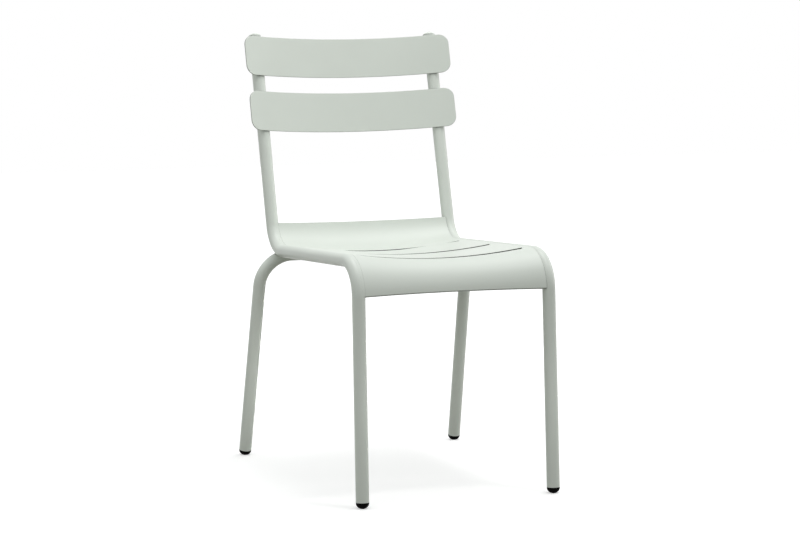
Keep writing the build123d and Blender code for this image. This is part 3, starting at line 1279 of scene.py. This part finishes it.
@dataclass
class BackSlat:
    """Bowed plate with round corners across the posts, and its beads."""

    layout: Layout
    level: Level
    sheet: float = 2.5 * MM
    radius: float = 620 * MM
    half: float = 222.2 * MM
    height: float = 81.5 * MM
    gap: float = 32.8 * MM
    corner: float = 20 * MM
    corner_segments: int = 12
    drop: float = 3.5 * MM
    columns: int = 64
    edge_round: float = 1 * MM
    # Edge faces, whose normals stray this far from the plate's face, get painted shade of the strength on the
    # next line.
    edge_turn: float = 0.8
    edge_shade: float = 0.45
    weld_margin: float = 12 * MM
    weld_radius: float = 2 * MM
    weld_offset: float = 5 * MM

    @property
    def top(self) -> float:
        """Distance of the top edge up the posts, from the rear corner."""
        first = self.layout.post_length - self.drop
        return first - self.level.value * (self.height + self.gap)

    @property
    def touching(self) -> float:
        """Distance from the axis that the slat is bent round to the posts' axes."""
        return self.radius + self.sheet + self.layout.joint_gap + self.layout.tube_radius

    @property
    def place(self) -> Matrix:
        """Placement whose z axis runs up the posts and whose y axis points to the rear."""
        return standing_on(self.layout.rear_corner, self.layout.post_up)

    def plate_mesh(self) -> BMesh:
        """Mesh of the bowed plate.

        Returns:
            The closed mesh with rounded edges.
        """
        mesh = bmesh.new()
        bmesh.ops.create_grid(mesh, x_segments=1, y_segments=1, size=1)
        bmesh.ops.scale(mesh, vec=(self.half, self.height / 2, 1), verts=mesh.verts[:])
        bmesh.ops.bevel(
            mesh, geom=mesh.verts[:], offset=self.corner, offset_type="OFFSET", affect="VERTICES",
            segments=self.corner_segments, profile=0.5, material=-1,
        )
        for index in range(1, self.columns):
            x = self.half * (2 * index / self.columns - 1)
            cut_across(mesh, ACROSS * x, ACROSS, NEAR_POINT)
        depth = math.sqrt(self.touching ** 2 - self.layout.half_width ** 2)
        for vert in mesh.verts:
            bow = math.sqrt(self.radius ** 2 - vert.co.x ** 2) - depth
            vert.co = (vert.co.x, bow, vert.co.y + self.top - self.height / 2)
        bmesh.ops.transform(mesh, matrix=self.place, verts=mesh.verts[:])
        thicken(mesh, self.sheet, seat_side(self.layout.post_up))
        round_sharp_edges(mesh, self.edge_round)
        self.shade_plate_edges(mesh)
        return mesh

    def shade_plate_edges(self, mesh: BMesh) -> None:
        """Marks the plate's cut edges for painted shade, which darkens them as if they were turned from the
        light.

        Args:
            mesh: Mesh of the plate.
        """
        painted_shade = mesh.faces.layers.float.new(PAINTED_SHADE_MARK)
        turned = self.place.to_3x3()
        mesh.normal_update()
        for face in mesh.faces:
            x = face.calc_center_median().x
            outward = turned @ Vector((x, math.sqrt(self.radius ** 2 - x ** 2), 0)) / self.radius
            if abs(face.normal.dot(outward)) < self.edge_turn:
                face[painted_shade] = self.edge_shade

    def weld_mesh(self, hand: Hand) -> BMesh:
        """Beads on both sides of the line where the slat's back meets a post.

        Args:
            hand: Left or right.

        Returns:
            The mesh of the beads.
        """
        plan = self.layout
        angle = math.asin(plan.half_width / self.touching)
        towards = Vector((hand.value * math.sin(angle), -math.cos(angle), 0))
        beside = Vector((towards.y, -towards.x, 0))
        contact = ACROSS * hand.value * plan.half_width + towards * plan.tube_radius
        # The post falls away from the slat by this much at the bead, which is laid half way between them.
        gap = self.weld_offset ** 2 / (2 * plan.tube_radius)
        bead = WeldBead(self.weld_radius)
        for side in (-1, 1):
            foot = contact + beside * side * self.weld_offset - towards * gap / 2
            low = foot + UP * (self.top - self.height + self.weld_margin)
            high = foot + UP * (self.top - self.weld_margin)
            bead.straight(self.place @ low, self.place @ high)
        return bead.mesh

    def build(self, shop: Workshop) -> None:
        """Builds and dresses the plate and its beads.

        Args:
            shop: Workshop that makes the pieces.
        """
        word = self.level.word
        shop.piece(f"bowed_plate_{word}", self.plate_mesh(), Slot.SHEET, f"back_slat_{word}")
        for hand in Hand:
            node = f"slat_weld_{word}_{hand.word}"
            shop.piece(f"slat_beads_{word}_{hand.word}", self.weld_mesh(hand), Slot.WELD, node)


@dataclass
class Glide:
    """Moulded foot pushed into a leg, round at the side and flat on the floor."""

    layout: Layout
    leg: Leg
    hand: Hand
    collar: float = 1.6 * MM
    tip_radius: float = 4.5 * MM
    bulge: float = 1.3 * MM
    side_steps: int = 8
    edge_round: float = 0.5 * MM
    edge_segments: int = 2
    edge_sharp: float = 60

    def mesh(self) -> BMesh:
        """Mesh of the foot with its shank.

        Returns:
            The closed mesh, cut flat on the floor.
        """
        plan = self.layout
        low = -plan.glide_stand - plan.tube_radius
        shoulder = Vector((plan.tube_radius, -self.collar))
        tip = Vector((self.tip_radius, -plan.glide_stand))
        bulge = (shoulder + tip) / 2 + Vector((self.bulge, -self.bulge))
        outline = shank_outline(plan, 1)
        outline.line_to(plan.tube_radius, -self.collar)
        outline.arc_to(bulge, tip, self.side_steps)
        outline.line_to(self.tip_radius, low)
        outline.line_to(0, low)
        up = plan.leg_direction(self.leg, self.hand)
        mesh = outline.turned(standing_on(plan.tube_end(self.leg, self.hand), up))
        sole = cut_across(mesh, ORIGIN, UP, open_below=True)
        bmesh.ops.edgeloop_fill(mesh, edges=edges_of(sole))
        bmesh.ops.recalc_face_normals(mesh, faces=mesh.faces[:])
        round_sharp_edges(mesh, self.edge_round, self.edge_segments, self.edge_sharp)
        return mesh

    def build(self, shop: Workshop) -> None:
        """Builds and dresses the foot."""
        place = f"{self.leg.word}_{self.hand.word}"
        shop.piece(f"moulded_foot_{place}", self.mesh(), Slot.GLIDE, f"glide_{place}")


@dataclass(frozen=True)
class SoftLamp:
    """Square lamp behind a diffuser, aimed at the chair. Metres, watts and degrees."""

    name: str
    place: tuple[float, float, float]
    size: float
    power: float
    aim: tuple[float, float, float] = (0.0, 0.0, 0.5)
    spread: float = 180


# A large lamp overhead and a small one above the front give the seat and the slats their tone. Wide fills
# stand at the sides, and two lamps behind narrow grids lift the rear legs out of the seat's shade.
LAMPS = (
    SoftLamp("key", (0.3, 0.15, 2.35), 0.9, 12.9),
    SoftLamp("front_top", (0.7, -1.0, 3.2), 0.35, 11.0),
    SoftLamp("right_fill", (2.8, 0.2, 1.2), 1.8, 14.0),
    SoftLamp("left_fill", (-1.15, 0.0, 0.85), 0.6, 0.7),
    SoftLamp("rear_leg_grid_left", (0.53, -1.6, 0.25), 0.16, 0.065, aim=(-0.225, 0.24, 0.17), spread=13.5),
    SoftLamp("rear_leg_grid_right", (-0.53, -1.6, 0.25), 0.16, 0.02, aim=(0.225, 0.24, 0.15), spread=13.5),
)


@dataclass
class Studio:
    """Pale floor, white surround, soft lamps and the camera. Metres and degrees."""

    floor_half: float = 8.0
    floor_colour: str = "#E9E9E7"
    bounce_colour: str = "#76756A"
    floor_glow: float = 0.43
    far_glow: float = 0.70
    near_reach: float = 0.6
    far_reach: float = 1.8
    dome_colour: str = "#F4F6F8"
    dome_strength: float = 0.705
    lamps: tuple[SoftLamp, ...] = LAMPS
    camera_place: tuple[float, float, float] = (-1.741529, -4.431763, 0.947347)
    camera_yaw: float = 21.5
    camera_pitch: float = 6.485
    camera_lens_mm: float = 109.76
    camera_sensor_mm: float = 36.0

    def seen_directly(self, tree: bpy.types.NodeTree) -> bpy.types.NodeSocket:
        """Factor that is 1 for what the eye sees straight or in a reflection, and 0 for light.

        Args:
            tree: Node tree to add to.

        Returns:
            The output socket.
        """
        path = add_node(tree, "LightPath", {})
        seen = path.outputs["Is Camera Ray"]
        for ray in ("Is Glossy Ray", "Is Transmission Ray"):
            seen = add_node(tree, "Math", {0: seen, 1: path.outputs[ray]}, operation="MAXIMUM").outputs[0]
        return seen

    def surround(self) -> None:
        """White to the eye, and an even dome of light."""
        world = bpy.data.worlds.new("studio_surround")
        bpy.context.scene.world = world
        world.use_nodes = True
        tree = world.node_tree
        tree.nodes.clear()
        dome = add_node(tree, "Background", {
            "Color": linear_colour(self.dome_colour), "Strength": self.dome_strength})
        white = add_node(tree, "Background", {"Color": (1, 1, 1, 1), "Strength": 1.0})
        mixed = add_node(tree, "MixShader", {
            0: self.seen_directly(tree), 1: dome.outputs[0], 2: white.outputs[0]})
        add_node(tree, "OutputWorld", {"Surface": mixed.outputs[0]})

    def floor(self) -> None:
        """Painted floor that shows white where no shadow falls, and throws back a darker light."""
        mesh = bmesh.new()
        bmesh.ops.create_grid(mesh, x_segments=1, y_segments=1, size=self.floor_half)
        material, tree = empty_tree("matt_painted_floor")
        bounce, paint = [
            add_node(tree, "BsdfDiffuse", {"Color": linear_colour(colour)}).outputs[0]
            for colour in (self.bounce_colour, self.floor_colour)]
        place = add_node(tree, "TexCoord", {}).outputs["Object"]
        away = add_node(tree, "VectorMath", {0: place}, operation="LENGTH")
        level = add_node(tree, "MapRange", {
            "Value": away.outputs["Value"], "From Min": self.near_reach, "From Max": self.far_reach,
            "To Min": self.floor_glow, "To Max": self.far_glow}, interpolation_type="SMOOTHSTEP")
        glow = add_node(tree, "Emission", {"Strength": level.outputs["Result"]})
        shown = add_node(tree, "AddShader", {0: paint, 1: glow.outputs[0]})
        mixed = add_node(tree, "MixShader", {0: self.seen_directly(tree), 1: bounce, 2: shown.outputs[0]})
        add_node(tree, "OutputMaterial", {"Surface": mixed.outputs[0]})
        data = mesh_data("studio_floor", mesh)
        data.materials.append(material)
        add_object(data)

    def hang(self, lamp: SoftLamp) -> None:
        """Hangs one lamp.

        Args:
            lamp: Lamp to hang.
        """
        light = bpy.data.lights.new(lamp.name, "AREA")
        light.shape = "SQUARE"
        light.size = lamp.size
        light.energy = lamp.power
        light.spread = math.radians(lamp.spread)
        hung = add_object(light)
        hung.location = lamp.place
        hung.rotation_euler = (Vector(lamp.aim) - Vector(lamp.place)).to_track_quat("-Z", "Y").to_euler()

    def camera(self) -> None:
        """Camera at the photograph's place."""
        lens = bpy.data.cameras.new("photo_camera")
        lens.sensor_width = self.camera_sensor_mm
        lens.lens = self.camera_lens_mm
        eye = add_object(lens)
        eye.location = self.camera_place
        eye.rotation_euler = (math.radians(90 - self.camera_pitch), 0, -math.radians(self.camera_yaw))
        bpy.context.scene.camera = eye

    def build(self) -> None:
        """Sets the whole studio."""
        bpy.context.scene.view_settings.view_transform = "Standard"
        self.surround()
        self.floor()
        for lamp in self.lamps:
            self.hang(lamp)
        self.camera()


def main() -> None:
    """Builds the chair piece by piece, then the studio."""
    logging.basicConfig(level=logging.INFO, format="%(name)s: %(message)s")
    layout = Layout()
    shop = Workshop()
    assemblies = [SideFrame(layout, hand) for hand in Hand]
    assemblies += [RearHoop(layout), SeatPan(layout)]
    assemblies += [BackSlat(layout, level) for level in Level]
    assemblies += [Glide(layout, leg, hand) for leg in Leg for hand in Hand]
    for assembly in assemblies:
        assembly.build(shop)
    Studio().build()


if __name__ == "__main__":
    main()
